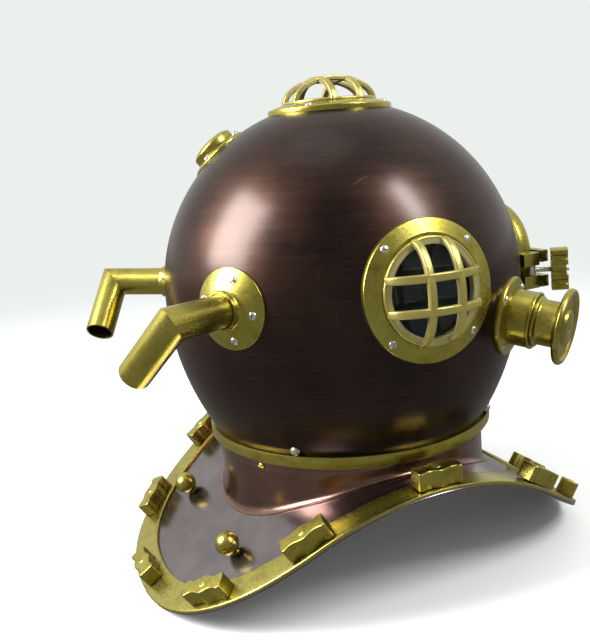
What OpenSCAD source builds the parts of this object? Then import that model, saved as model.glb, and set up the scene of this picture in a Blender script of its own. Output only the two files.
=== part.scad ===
// Twelve-bolt diving helmet: copper bonnet, brass fittings and copper breastplate.
// The origin is the centre of the neck joint. The front window looks along -Y, and +Z is up.

/* [Bonnet] */
// Radius of the copper bonnet
bonnet_r = 150; // [140:1:160]
// Radius of the bonnet's lower edge
bonnet_foot_r = 119.5; // [119.2:0.1:120]
// Height of the bonnet's widest line above the neck joint
centre_h = 121; // [112:1:130]
// Thickness of the bonnet's sheet
bonnet_t = 1.8; // [1.4:0.1:2.2]

/* [Neck joint] */
// Outer radius of the helmet's neck ring
neck_ring_r = 122.7; // [121.5:0.1:126]
// Height of the helmet's neck ring
neck_ring_h = 8.7; // [8.6:0.1:10]
// Bore radius of the neck
neck_bore_r = 110; // [108:0.5:111]
// Thread lugs on each ring
thread_lugs = 4; // [3:1:4]
// Angle that the helmet turns to lock
lock_angle = 45; // [40:1:45]

/* [Breastplate] */
// Outer radius of the collar
collar_r = 115.5; // [115:0.1:116]
// Thickness of the collar and the breastplate's sheet
plate_t = 2; // [1.6:0.1:2.4]
// Half width of the breastplate, across the shoulders
plate_half_w = 155; // [152:1:160]
// Half length of the breastplate, front to rear
plate_half_l = 199.5; // [190:0.5:210]
// Squareness of the breastplate's outline
plate_power = 2.42; // [2.2:0.02:2.8]
// Depth of the shoulder line below the neck joint
shoulder_drop = 14; // [12:0.5:18]
// Radius of the bend over the shoulders
arch_r = 181; // [170:1:200]
// Slope of the breastplate's front and rear
arch_slope = 33.2; // [30:0.2:36]
// Width of the brails
brail_w = 20; // [16:0.5:24]
// Thickness of the brails
brail_t = 2.5; // [2:0.1:4]
// Distance of the brails' joints from the nuts' centre lines
brail_joint = 12; // [11:0.5:20]

/* [Wing nuts] */
// Radius of the studs
stud_r = 2.6; // [2:0.1:3]
// Length of a wing nut over its wings
nut_l = 37; // [32:1:40]
// Width of a wing
nut_wing_w = 15; // [12:0.5:17]
// Height of a wing nut
nut_h = 13.5; // [10:0.5:16]
// Radius of a wing nut's hub
nut_hub_r = 8.6; // [7:0.2:10]
// Radius of the lashing balls
ball_r = 9.5; // [8:0.5:12]

/* [Windows] */
// Outer radius of a window frame
port_r = 51; // [48:0.5:54]
// Elevation of the side windows
side_el = 4.2; // [0:0.2:8]
// Elevation of the front window
front_el = 2; // [0:0.2:6]
// Radius of the guards' base rings
guard_r = 38.5; // [37:0.5:40]
// Height of the guards above the window frames
guard_h = 22; // [16:1:26]
// Width of the guards' bars
guard_bar_w = 5.8; // [3:0.2:7]
// Distance of the guards' bars from the centre
guard_bar_x = 11.5; // [10:0.5:13]
// Thickness of the window glass
glass_t = 5; // [4:0.5:6]
// Radius of the screws' circle on a window frame
port_screw_pitch_r = 46; // [45:0.5:46.5]

/* [Front door] */
// Outer radius of the door
door_r = 48; // [46:0.5:48]
// Height of the front frame's face over the bonnet's radius
front_face_rise = 4; // [3:0.5:8]
// Depth of the door
door_d = 13; // [12:0.5:16]
// Distance of the hinge axis from the window's centre line
hinge_x = 56; // [55.5:0.5:58]
// Distance of the swing bolt's pivot from the window's centre line
latch_x = 57; // [56:0.5:59]
// Depth of the latch below the window's centre line
latch_drop = 10; // [6:1:14]
// Angle that the swing bolt rests away from the door
bolt_rest_angle = 36; // [34:1:40]
// Width of the slot in the door's fork
fork_gap = 12; // [9:0.5:13]

/* [Elbows and caps] */
// Outer radius of the elbow tubes
elbow_r = 12; // [11:0.5:13]
// Wall of the elbow tubes
elbow_wall = 1.4; // [1:0.1:2]
// Angle of the elbows round the bonnet from the front
elbow_az = 147; // [140:1:152]
// Elevation of the elbows
elbow_el = 2.3; // [0:0.1:5]
// Distance of the elbow's corner from the bonnet's surface
elbow_reach = 58.5; // [50:0.5:66]
// Length of the elbow's outer leg
elbow_leg = 55; // [45:1:65]
// Angle that the outer leg drops below level
elbow_droop = 44; // [30:1:60]
// Radius of the elbow flanges
elbow_flange_r = 30; // [28:0.5:33]
// Angle of the rear cap round the bonnet from the front
cap_az = 150; // [145:1:165]
// Elevation of the rear cap
cap_el = 50; // [45:1:55]
// Radius of the rear cap
cap_r = 19.5; // [17:0.5:21]
// Height of the rear cap over the bonnet
cap_h = 12; // [9:0.5:14]

/* [Exhaust valve] */
// Angle of the exhaust valve round the bonnet from the front
valve_az = -55; // [-57:1:-52]
// Elevation of the exhaust valve
valve_el = -9; // [-12:0.5:-8]
// Radius of the valve's flange
valve_flange_r = 30.5; // [30:0.5:32]
// Radius of the valve's chamber
valve_r = 21.5; // [20.5:0.5:22.5]
// Length of the valve's chamber over the bonnet
valve_l = 20.5; // [18:0.5:24]
// Radius of the valve's barrel
barrel_r = 18; // [17.5:0.5:19]
// Length of the valve's barrel
barrel_l = 18; // [16:0.5:24]
// Radius of the hand wheel
wheel_r = 29; // [27:0.5:34]
// Thickness of the hand wheel
wheel_t = 6; // [5:0.5:8]

/* [Screws] */
// Radius of the screw heads
head_r = 3.1; // [2.8:0.1:3.4]
// Height of the screw heads
head_h = 2; // [1.6:0.1:2.4]
// Radius of the screw shanks
shank_r = 1.9; // [1.5:0.1:2]

/* [Hidden] */
$fn = 96;
// Gap between faces of one body that touch, and of a running fit
seat = 0.03;
fit = 0.05;
// Gap between bodies that move apart
clear = 0.3;
far = 400;

window_names = ["top", "right", "left"];
nut_angles = [0, 26, 55, 90, 125, 154, 180, 206, 235, 270, 305, 334];

// Bonnet: a half sphere above its widest line, and below it one arc of larger radius
foot_in = bonnet_r - bonnet_foot_r;
foot_drop = centre_h - neck_ring_h;
lower_arc_r = (foot_in * foot_in + foot_drop * foot_drop) / (2 * foot_in);
lower_arc_x = bonnet_r - lower_arc_r;
bonnet_foot_in_r = bonnet_foot_r - bonnet_t;

// Neck joint
collar_in_r = collar_r - plate_t;
shoulder_h = 3.2;
spigot_r = 115;
spigot_h = 5.3;
gasket_h = 1.8;
thread_r = 117.6;
thread_lug_h = 2.2;
lower_skirt_h = 12;
upper_skirt_h = 12;
skirt_r = bonnet_foot_in_r - 0.25;
web_z = spigot_h + gasket_h + clear;
lower_lug_z = 0.5;
lug_angle = 360 / thread_lugs / 2 - 2;
neck_screw_drop = asin((centre_h - neck_ring_h - 4) / lower_arc_r);
neck_screw_angles = [45, 135, 225, 315];
collar_screw_z = -7.5;
collar_screw_angles = [-153, -33, 87];

// Breastplate: flat slopes joined by one bend over the shoulders
bend_y = arch_r * sin(arch_slope);
slope_l = (plate_half_l - bend_y) / cos(arch_slope) + 30;
arch_steps = 48;
nut_path_in = brail_w / 2;
ball_spot = [64.5, 135];
ball_lift = 0.6;
stud_top = nut_h - 0.6;
stud_nut_r = 5;
stud_nut_h = 3;

// Windows
frame_tube_r = guard_r + 1;
glass_r = 36.3;
sight_r = 33.5;
frame_top = bonnet_r - 1.5;
frame_rim_top = frame_top - 3.2;
frame_rim_low = frame_top - 9;
guard_ring_t = 2.5;
guard_bar_t = 4.2;
glass_top = frame_top - 3.5;
window_gasket_t = 1.2;
frame_tube_low = glass_top - glass_t - window_gasket_t - 2.5;
spot_face = frame_rim_top + 0.7;

// Front door
front_face = bonnet_r + front_face_rise;
door_low = front_face + 0.5;
door_top = door_low + door_d;
front_gasket_r = 42.8;
front_gasket_t = 1;
door_glass_r = 36;
door_glass_z = door_low + 4.5;
retainer_t = 2.4;
hinge_z = front_face + 4;
pin_r = 2.1;
ear_r = 5.2;
knuckle_l = 18;
ear_l = 5.5;
latch_block_top = door_top - 5.5;
pivot_z = latch_block_top - 5.5;
cheek_w = 11;
prong_w = cheek_w - 1;
eye_w = 8.4;
fork_low = latch_block_top + 3.8;
fork_top = fork_low + 7;
fork_reach = latch_x + 3;
bolt_seat = fork_top + 2 * clear - pivot_z;
bolt_r = 2.1;
bolt_end = bolt_seat + nut_h + 1;

// Elbows and caps
elbow_corner = bonnet_r + elbow_reach;
elbow_bore_r = elbow_r - elbow_wall;
elbow_socket_r = elbow_bore_r + 0.6;
elbow_socket_l = 21;
elbow_dome_h = 7;
elbow_screw_pitch_r = 22.5;
elbow_screw_angles = [72, 162, -78, -8];
boss_h = 10.5;
cap_flange_r = 27;
cap_flange_t = 2.6;
cap_screw_pitch_r = 23.2;
cap_stem_r = 5.8;
cap_dome_r = 34;
cap_rise = cap_h - cap_flange_t - seat;

// Exhaust valve
port_bore_r = 14;
valve_flange_t = 2.8;
valve_spigot_r = port_bore_r + 3;
valve_edge_z = 0.2;
valve_screw_pitch_r = (valve_r + valve_flange_r) / 2 + 0.2;
valve_screw_z = 1;
valve_screw_angles = [50, 140, 230, 320];
valve_top = bonnet_r + valve_l;
barrel_top = valve_top + barrel_l;
barrel_end_z = barrel_top - 4;
stem_r = 3;
disc_t = 2.5;
disc_z = bonnet_r + 2;
disc_lift = 2.5;
spring_r = 9;
spring_wire_r = 0.9;
spring_turns = 6;

// Distance of the bonnet's surface from its centre, seen at an elevation
function bonnet_reach(el) = el >= 0 ? bonnet_r
    : lower_arc_x * cos(el) + sqrt(pow(lower_arc_r, 2) - pow(lower_arc_x * sin(el), 2));
function signed_power(v, p) = sign(v) * pow(abs(v), p);
function oval_point(a, b, t) =
    [a * signed_power(cos(t), 2 / plate_power), b * signed_power(sin(t), 2 / plate_power)];
function oval(inset) =
    [for (i = [0 : 127]) oval_point(plate_half_w - inset, plate_half_l - inset, i * 360 / 128)];
function nut_point(t) = oval_point(plate_half_w - nut_path_in, plate_half_l - nut_path_in, t);
function sheet_tilt(y) = abs(y) < bend_y ? asin(y / arch_r) : sign(y) * arch_slope;
function sheet_z(y) = -shoulder_drop - (abs(y) < bend_y
    ? arch_r - sqrt(arch_r * arch_r - y * y)
    : arch_r * (1 - cos(arch_slope)) + (abs(y) - bend_y) * tan(arch_slope));
// Direction of the rim's tangent at a nut, seen along the nut's own axis
function nut_turn(t) =
    let (d = nut_point(t + 1) - nut_point(t - 1), y = nut_point(t)[1])
    atan2(d[1] / cos(sheet_tilt(y)), d[0]);

valve_tilt = -valve_el - asin(bonnet_reach(valve_el) * sin(-valve_el) / lower_arc_r);

module copper() color([0.28, 0.15, 0.13]) children();
module plate_copper() color([0.36, 0.24, 0.24]) children();
module brass() color([0.66, 0.58, 0.25]) children();
module steel() color([0.7, 0.7, 0.7]) children();
module rubber() color([0.1, 0.1, 0.1]) children();
module glass() color([0.35, 0.4, 0.42]) children();

// Places children on a line out of the bonnet's centre, with Z outward and Y up
module on_bonnet(az, el, d = 0)
    translate([0, 0, centre_h]) rotate([0, 0, az]) rotate([90 - el, 0, 0])
    translate([0, 0, d]) children();

// Places children on the breastplate's upper face, with Z square to it
module on_sheet(p, lift = 0)
    translate([p[0], p[1], sheet_z(p[1])]) rotate([-sheet_tilt(p[1]), 0, 0])
    translate([0, 0, lift]) children();

module on_nut(t, lift = 0) on_sheet(nut_point(t), lift) rotate([0, 0, nut_turn(t)]) children();

module round_copies(n, r, phase = 0)
    for (i = [0 : n - 1]) rotate([0, 0, phase + i * 360 / n]) translate([r, 0, 0]) children();

module at_angles(angles, r) for (a = angles) rotate([0, 0, a]) translate([r, 0, 0]) children();

module tube(r_out, r_in, low, high)
    translate([0, 0, low]) difference() {
        cylinder(r = r_out, h = high - low);
        translate([0, 0, -1]) cylinder(r = r_in, h = high - low + 2);
    }

// Round-headed screw with its slot, its head's seat at z = 0
module screw(length, turn = 0)
    difference() {
        union() {
            intersection() {
                cylinder(r = head_r, h = head_h);
                translate([0, 0, head_h - 4.2]) sphere(r = 4.2);
            }
            translate([0, 0, -length]) cylinder(r = shank_r, h = length + 0.1);
        }
        rotate([0, 0, turn]) translate([-5, -0.45, head_h - 0.9]) cube([10, 0.9, 2]);
    }

module screw_hole(length) translate([0, 0, -length - 1]) cylinder(r = shank_r + fit, h = length + 30);
module spot_hole(length) {
    screw_hole(length);
    cylinder(r = head_r + 0.15, h = 12);
}

// Half plane of the bonnet's profile, grown inward by inset
module bonnet_profile(inset) {
    intersection() {
        circle(bonnet_r - inset);
        square([bonnet_r, bonnet_r]);
    }
    intersection() {
        translate([lower_arc_x, 0]) circle(lower_arc_r - inset, $fn = $fn * 2);
        translate([0, -foot_drop]) square([bonnet_r, foot_drop + 0.01]);
    }
}

module bonnet_solid(inset)
    translate([0, 0, centre_h]) rotate_extrude() bonnet_profile(inset);

// What fittings are cut back with so that they sit on the bonnet
module bonnet_seat() bonnet_solid(-seat, $fn = 300);

// Section line of the breastplate, lifted by rise: two slopes and the bend between them
function arch_line(rise) =
    let (r = arch_r + rise, out = slope_l * [cos(arch_slope), -sin(arch_slope)])
    concat([r * [-sin(arch_slope), cos(arch_slope)] + [-out[0], out[1]]],
        [for (i = [0 : arch_steps]) let (a = arch_slope * (2 * i / arch_steps - 1)) r * [sin(a), cos(a)]],
        [r * [sin(arch_slope), cos(arch_slope)] + out]);

// Section of the breastplate: a layer that lies from top down through thick
module arch_section(top, thick) {
    low = arch_line(top - thick);
    translate([0, -shoulder_drop - arch_r])
        polygon(concat(arch_line(top), [for (i = [len(low) - 1 : -1 : 0]) low[i]]));
}

module arch_layer(top, thick)
    rotate([90, 0, 90]) linear_extrude(height = far, center = true) arch_section(top, thick);

module plan(inset) translate([0, 0, -far / 2]) linear_extrude(height = far) polygon(oval(inset));

module stud_holes(r) for (t = nut_angles) on_nut(t, -plate_t - 10) cylinder(r = r, h = 40);

// Breastplate

module breastplate_sheet()
    plate_copper() difference() {
        intersection() {
            arch_layer(0, plate_t);
            plan(0);
        }
        translate([0, 0, -far / 2]) cylinder(r = collar_in_r, h = far);
        stud_holes(stud_r + fit);
        for (side = [-1, 1]) on_sheet([side * ball_spot[0], ball_spot[1]], -10)
            cylinder(r = shank_r + fit, h = 20);
    }

module collar()
    copper() difference() {
        tube(collar_r, collar_in_r, sheet_z(collar_r) - 2, -shoulder_h - seat);
        arch_layer(seat, arch_r * 0.8);
        collar_screw_holes();
    }

module collar_screw_holes()
    for (a = collar_screw_angles) rotate([0, 0, a - 90]) translate([collar_r - 8, 0, collar_screw_z])
        rotate([0, 90, 0]) cylinder(r = shank_r + fit, h = 12);

module collar_screws()
    brass() for (a = collar_screw_angles) rotate([0, 0, a - 90])
        translate([collar_r + 0.2, 0, collar_screw_z]) rotate([0, 90, 0]) screw(collar_r - neck_bore_r - 1);

module thread_ring(r_out, r_in, low)
    for (i = [0 : thread_lugs - 1]) rotate([0, 0, i * 360 / thread_lugs - lug_angle / 2])
        translate([0, 0, low]) rotate_extrude(angle = lug_angle)
        translate([r_in, 0]) square([r_out - r_in, thread_lug_h]);

module lower_neck_ring()
    brass() difference() {
        union() {
            tube(collar_in_r - seat, neck_bore_r, -lower_skirt_h - shoulder_h, -shoulder_h);
            tube(collar_r + 1.5, neck_bore_r, -shoulder_h, -clear);
            tube(spigot_r, neck_bore_r, -clear, spigot_h);
            thread_ring(thread_r, spigot_r - 0.5, spigot_h - thread_lug_h);
        }
        collar_screw_holes();
    }

module neck_gasket()
    rubber() tube(spigot_r - 0.3, neck_bore_r + 1.5, spigot_h + seat, spigot_h + gasket_h);

function brail_low(side, gap) = side > 0 ? -brail_joint + gap : -far;

module brail(x_side, y_side, gap = 0.2)
    brass() difference() {
        intersection() {
            arch_layer(brail_t + seat, brail_t);
            difference() {
                plan(0);
                plan(brail_w);
            }
            translate([brail_low(x_side, gap), brail_low(y_side, gap), -far])
                cube([far - brail_joint - gap, far - brail_joint - gap, 2 * far]);
        }
        stud_holes(stud_r + fit);
    }

module brail_front_right() brail(-1, -1);
module brail_front_left() brail(1, -1);
module brail_rear_left() brail(1, 1);
module brail_rear_right() brail(-1, 1);

module brail_studs()
    steel() for (t = nut_angles) on_nut(t) difference() {
        union() {
            translate([0, 0, -plate_t - seat - stud_nut_h])
                cylinder(r = stud_nut_r, h = stud_nut_h, $fn = 6);
            translate([0, 0, -plate_t - 1]) cylinder(r = stud_r, h = plate_t + 1 + brail_t + stud_top);
        }
        translate([-5, -0.5, brail_t + stud_top - 1.1]) cube([10, 1, 2]);
    }

module lashing_balls()
    brass() for (side = [-1, 1]) on_sheet([side * ball_spot[0], ball_spot[1]]) {
        translate([0, 0, seat]) cylinder(r1 = 6, r2 = 4, h = 3);
        translate([0, 0, ball_r + ball_lift]) sphere(r = ball_r);
        translate([0, 0, -plate_t - 3]) cylinder(r = shank_r, h = plate_t + 4);
        translate([0, 0, -plate_t - seat - 2]) cylinder(r = 4, h = 2, $fn = 6);
    }

// Cast wing nut with its seat at z = 0, its wings along X
module wing_nut(bore)
    difference() {
        union() {
            cylinder(r = nut_hub_r, h = nut_h - 1.5);
            intersection() {
                translate([-nut_l / 2, -nut_wing_w / 2, 0]) cube([nut_l, nut_wing_w, nut_h]);
                cylinder(r = nut_l / 2, h = nut_h);
            }
        }
        for (x = [-1, 1]) for (y = [-1, 1])
            translate([x * (nut_hub_r + 2), y * (nut_wing_w / 2 + 0.6), -1])
                cylinder(r = 2.6, h = nut_h + 2);
        translate([0, 0, -1]) cylinder(r = bore, h = nut_h + 2);
        translate([0, 0, nut_h - 1.5]) cylinder(r = nut_hub_r, h = 2);
    }

module brail_nut(i)
    brass() on_nut(nut_angles[i], brail_t + seat + 0.25) wing_nut(stud_r + fit);

// Bonnet

module on_window(name)
    if (name == "top") on_bonnet(0, 90) children();
    else if (name == "right") on_bonnet(-90, side_el) children();
    else if (name == "left") on_bonnet(90, side_el) children();
    else on_bonnet(0, front_el) children();

module window_screw_spots()
    rotate([0, 0, 45]) round_copies(4, port_screw_pitch_r) translate([0, 0, spot_face]) children();

module neck_screw_spots()
    for (a = neck_screw_angles) rotate([0, 0, a]) translate([lower_arc_x, 0, centre_h])
        rotate([0, 90 + neck_screw_drop, 0]) translate([0, 0, lower_arc_r + 0.1]) children();

module elbow_screw_spots(side)
    on_bonnet(side * elbow_az, elbow_el, bonnet_r + elbow_dome_h - 5.4) for (a = elbow_screw_angles)
        rotate([0, 0, side > 0 ? 180 - a : a]) translate([elbow_screw_pitch_r, 0, 0]) children();

module cap_screw_spots()
    on_bonnet(cap_az, cap_el, bonnet_r + cap_flange_t + seat)
        round_copies(4, cap_screw_pitch_r, 75) children();

// Places children on the bonnet under the exhaust valve, square to its surface
module on_valve_seat()
    on_bonnet(valve_az, valve_el, bonnet_reach(valve_el)) rotate([-valve_tilt, 0, 0]) children();

module valve_screw_spots()
    on_valve_seat() at_angles(valve_screw_angles, valve_screw_pitch_r)
        translate([0, 0, valve_screw_z]) children();

module bonnet_shell()
    copper() difference() {
        bonnet_solid(0);
        bonnet_solid(bonnet_t);
        for (w = window_names) on_window(w) {
            cylinder(r = frame_tube_r + seat, h = far);
            window_screw_spots() screw_hole(12);
        }
        on_window("front") cylinder(r = frame_tube_r + seat, h = far);
        for (side = [-1, 1]) {
            on_bonnet(side * elbow_az, elbow_el) cylinder(r = elbow_r + fit, h = far);
            elbow_screw_spots(side) screw_hole(12);
        }
        on_bonnet(cap_az, cap_el) cylinder(r = cap_stem_r + fit, h = far);
        cap_screw_spots() screw_hole(12);
        on_bonnet(valve_az, valve_el) cylinder(r = valve_spigot_r + seat, h = far);
        valve_screw_spots() screw_hole(12);
        neck_screw_spots() screw_hole(8);
    }

module upper_neck_ring()
    brass() difference() {
        union() {
            tube(neck_ring_r, thread_r + 0.4, 0, neck_ring_h - 0.05);
            tube(thread_r + 1, spigot_r - 1.4, web_z, neck_ring_h - 0.05);
            tube(skirt_r, spigot_r - 1.4, web_z, neck_ring_h + upper_skirt_h);
            thread_ring(thread_r + 0.6, spigot_r + 0.35, lower_lug_z);
        }
        neck_screw_spots() screw_hole(8);
    }

module neck_ring_screws()
    steel() neck_screw_spots() screw(7, 30);

// The bonnet around a window, without the hole that the frame's tube goes through
module bonnet_round(name)
    difference() {
        bonnet_seat();
        on_window(name) cylinder(r = frame_tube_r, h = far);
    }

// Flanged window frame, its tube through the bonnet and its seat for the glass
module window_frame(name)
    difference() {
        on_window(name)
            rotate_extrude() polygon([[sight_r, frame_tube_low], [frame_tube_r, frame_tube_low],
                [frame_tube_r, frame_rim_low], [port_r, frame_rim_low], [port_r, frame_rim_top - 0.6],
                [port_r - 0.6, frame_rim_top], [frame_tube_r + 1, frame_top], [glass_r + 0.1, frame_top],
                [glass_r + 0.1, glass_top - glass_t - window_gasket_t],
                [sight_r, glass_top - glass_t - window_gasket_t]]);
        bonnet_round(name);
        on_window(name) window_screw_spots() spot_hole(12);
    }

function guard_arc(a, b) = [for (i = [0 : 16]) [a * cos(i * 90 / 16), b * sin(i * 90 / 16)]];

// Domed guard with two bars each way, cast with its base ring
module window_guard()
    translate([0, 0, frame_top + seat]) {
        intersection() {
            rotate_extrude() polygon(concat([[0, guard_h - guard_bar_t], [0, guard_h]],
                [for (i = [15 : -1 : 0]) guard_arc(guard_r, guard_h)[i]],
                [for (i = [0 : 15]) guard_arc(guard_r - guard_bar_t, guard_h - guard_bar_t)[i]]));
            union() for (turn = [0, 90]) for (side = [-1, 1]) rotate([0, 0, turn])
                translate([side * guard_bar_x - guard_bar_w / 2, -far / 2, 0])
                    cube([guard_bar_w, far, far]);
        }
        rotate_extrude() polygon([[sight_r - 1, -3.3], [glass_r - 0.1, -3.3], [glass_r - 0.1, 0],
            [guard_r, 0], [guard_r, guard_ring_t - 0.8], [guard_r - 0.8, guard_ring_t],
            [sight_r - 1, guard_ring_t]]);
    }

module window_glass()
    translate([0, 0, glass_top - glass_t + seat]) cylinder(r = glass_r, h = glass_t - 2 * seat);

module window_gaskets()
    rubber() for (w = window_names) on_window(w)
        tube(glass_r, sight_r + 0.3, glass_top - glass_t - window_gasket_t + seat, glass_top - glass_t);

module window_screws()
    steel() for (w = window_names) on_window(w) window_screw_spots() screw(7, 20);

// Half space on the outer side of the elbow's mitre
module mitre_outer() rotate([0, 45, 0]) translate([-far / 2, -far / 2, 0]) cube([far, far, far]);

module mitred_pair(r, low)
    union() {
        difference() {
            translate([0, 0, low]) cylinder(r = r, h = elbow_corner - low + 2 * elbow_r);
            translate([0, 0, elbow_corner]) mitre_outer();
        }
        translate([0, 0, elbow_corner]) intersection() {
            translate([-2 * elbow_r, 0, 0]) rotate([0, 90, 0]) cylinder(r = r, h = 2 * elbow_r + elbow_leg);
            mitre_outer();
        }
    }

// The outer leg drops toward the rear centre line
module elbow(side)
    brass() on_bonnet(side * elbow_az, elbow_el) rotate([0, 0, side > 0 ? -elbow_droop : 180 + elbow_droop])
        difference() {
            mitred_pair(elbow_r, bonnet_r - 3);
            mitred_pair(elbow_bore_r, bonnet_r - 5);
            translate([elbow_leg - elbow_socket_l, 0, elbow_corner]) rotate([0, 90, 0])
                cylinder(r = elbow_socket_r, h = elbow_socket_l + 5);
        }

module right_elbow() elbow(-1);
module left_elbow() elbow(1);

module elbow_flange(side)
    brass() difference() {
        on_bonnet(side * elbow_az, elbow_el) {
            intersection() {
                cylinder(r = elbow_flange_r, h = far);
                translate([0, 0, bonnet_r + elbow_dome_h - 57]) sphere(r = 57);
            }
            translate([0, 0, bonnet_r]) cylinder(r = elbow_r + 1.8, h = boss_h);
        }
        bonnet_seat();
        on_bonnet(side * elbow_az, elbow_el) cylinder(r = elbow_r + seat, h = far);
        elbow_screw_spots(side) spot_hole(12);
    }

module right_elbow_flange() elbow_flange(-1);
module left_elbow_flange() elbow_flange(1);

module rear_cap_flange()
    brass() difference() {
        on_bonnet(cap_az, cap_el) cylinder(r = cap_flange_r, h = bonnet_r + cap_flange_t);
        bonnet_seat();
        on_bonnet(cap_az, cap_el) cylinder(r = cap_stem_r + fit, h = far);
        cap_screw_spots() spot_hole(12);
    }

module rear_cap()
    brass() on_bonnet(cap_az, cap_el, bonnet_r) {
        intersection() {
            translate([0, 0, cap_flange_t + seat]) cylinder(r = cap_r, h = cap_rise);
            translate([0, 0, cap_h - cap_dome_r]) sphere(r = cap_dome_r);
        }
        translate([0, 0, -8]) cylinder(r = cap_stem_r, h = 12);
    }

module fitting_screws()
    steel() {
        for (side = [-1, 1]) elbow_screw_spots(side) screw(7, 70);
        cap_screw_spots() screw(8, 15);
        valve_screw_spots() screw(8, 40);
    }

// Exhaust valve

module exhaust_body()
    brass() difference() {
        union() {
            difference() {
                union() {
                    on_valve_seat() rotate_extrude() polygon([[0, -9], [valve_flange_r, -9],
                        [valve_flange_r, valve_edge_z - 0.6], [valve_flange_r - 0.8, valve_edge_z],
                        [valve_r + 1, valve_flange_t], [0, valve_flange_t]]);
                    on_bonnet(valve_az, valve_el) rotate_extrude() polygon([[0, bonnet_r - 8],
                        [valve_r, bonnet_r - 8], [valve_r, valve_top - 1.5],
                        [valve_r - 0.8, valve_top], [0, valve_top]]);
                }
                bonnet_seat();
            }
            on_bonnet(valve_az, valve_el) translate([0, 0, bonnet_r - 6])
                cylinder(r = valve_spigot_r, h = 10);
        }
        on_bonnet(valve_az, valve_el) {
            translate([0, 0, bonnet_r - 8]) cylinder(r = port_bore_r, h = 20);
            translate([0, 0, disc_z]) cylinder(r = port_bore_r + 4, h = far);
        }
        valve_screw_spots() spot_hole(12);
    }

module exhaust_barrel()
    brass() on_bonnet(valve_az, valve_el) difference() {
        union() {
            translate([0, 0, valve_top + seat]) cylinder(r = barrel_r + 1.5, h = 2);
            translate([0, 0, valve_top + 1]) cylinder(r = barrel_r, h = barrel_l - 1);
        }
        translate([0, 0, valve_top - 1]) cylinder(r = port_bore_r + 2, h = barrel_end_z - valve_top + 1);
        cylinder(r = stem_r + fit, h = far);
    }

module exhaust_disc()
    brass() on_bonnet(valve_az, valve_el) {
        translate([0, 0, disc_z + clear]) cylinder(r = port_bore_r + 3.4, h = disc_t);
        translate([0, 0, disc_z + 1]) cylinder(r = 5, h = disc_t + 3);
    }

function spring_point(i, steps, low, high) =
    let (a = i * 360 * spring_turns / steps)
    [spring_r * cos(a), spring_r * sin(a), low + (high - low) * i / steps];

// Spring of round wire, one unbroken tube
module spring(low, high) {
    steps = spring_turns * 14;
    sides = 6;
    rings = [for (i = [0 : steps]) let (
        p = spring_point(i, steps, low, high), a = i * 360 * spring_turns / steps,
        out = [cos(a), sin(a), 0]) for (k = [0 : sides - 1])
        p + spring_wire_r * (cos(k * 360 / sides) * out + sin(k * 360 / sides) * [0, 0, 1])];
    quads = [for (i = [0 : steps - 1]) for (k = [0 : sides - 1]) let (n = (k + 1) % sides)
        [i * sides + k, i * sides + n, (i + 1) * sides + n, (i + 1) * sides + k]];
    triangles = [for (q = quads) for (half = [[q[0], q[2], q[1]], [q[0], q[3], q[2]]]) half];
    polyhedron(points = rings, faces = concat(triangles,
        [[for (k = [0 : sides - 1]) k]], [[for (k = [sides - 1 : -1 : 0]) steps * sides + k]]));
}

module exhaust_spring()
    steel() on_bonnet(valve_az, valve_el)
        spring(disc_z + clear + disc_t + disc_lift + spring_wire_r + 0.4,
               barrel_end_z - spring_wire_r - 0.3);

module exhaust_handwheel()
    brass() on_bonnet(valve_az, valve_el, barrel_top + clear) {
        rotate_extrude() {
            square([wheel_r - wheel_t / 2, wheel_t - 2.6]);
            translate([wheel_r - wheel_t / 2, wheel_t / 2]) circle(wheel_t / 2);
            square([wheel_r * 0.42, wheel_t]);
        }
        translate([0, 0, -9]) cylinder(r = stem_r, h = 10);
    }

// Front window and its door

module latch_spots(z = 0) translate([-latch_x, -latch_drop, z]) children();

module front_window_frame()
    brass() difference() {
        on_window("front") {
            rotate_extrude() polygon([[sight_r, frame_tube_low], [frame_tube_r, frame_tube_low],
                [frame_tube_r, frame_rim_low], [port_r, frame_rim_low], [port_r, front_face - 1],
                [port_r - 1, front_face], [sight_r, front_face]]);
            for (side = [-1, 1]) hull() {
                translate([hinge_x, side * (knuckle_l + ear_l) / 2, hinge_z]) rotate([90, 0, 0])
                    cylinder(r = ear_r, h = ear_l - 0.4, center = true, $fn = 32);
                translate([hinge_x - 8, side * (knuckle_l + ear_l) / 2 - (ear_l - 0.4) / 2, front_face - 6])
                    cube([8 + ear_r - 1, ear_l - 0.4, 4]);
            }
            for (side = [-1, 1]) latch_spots() translate([0, side * (eye_w + cheek_w + 0.4) / 2, 0])
                latch_cheek();
            latch_spots() translate([latch_x - door_r - 2, -eye_w, front_face - 5]) cube([5, 2 * eye_w, 5]);
        }
        bonnet_round("front");
        on_window("front") {
            translate([0, 0, front_face - front_gasket_t]) cylinder(r = front_gasket_r + 0.2, h = 2);
            translate([hinge_x, 0, hinge_z]) rotate([90, 0, 0])
                cylinder(r = pin_r + seat, h = 60, center = true);
            latch_spots(pivot_z) rotate([90, 0, 0]) cylinder(r = pin_r + seat, h = 60, center = true);
        }
    }

// One side of the latch block, which holds the swing bolt's pin
module latch_cheek() {
    low = front_face - 8;
    translate([latch_x - fork_reach - 2, -cheek_w / 2, low])
        cube([fork_reach + 2 - door_r - 0.7, cheek_w, latch_block_top - low]);
    translate([latch_x - door_r - 0.8, -cheek_w / 2, low]) cube([4, cheek_w, front_face - low]);
}

module front_gasket()
    rubber() on_window("front") tube(front_gasket_r, sight_r + 2.5,
        front_face - front_gasket_t + seat, front_face + 0.2);

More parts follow.
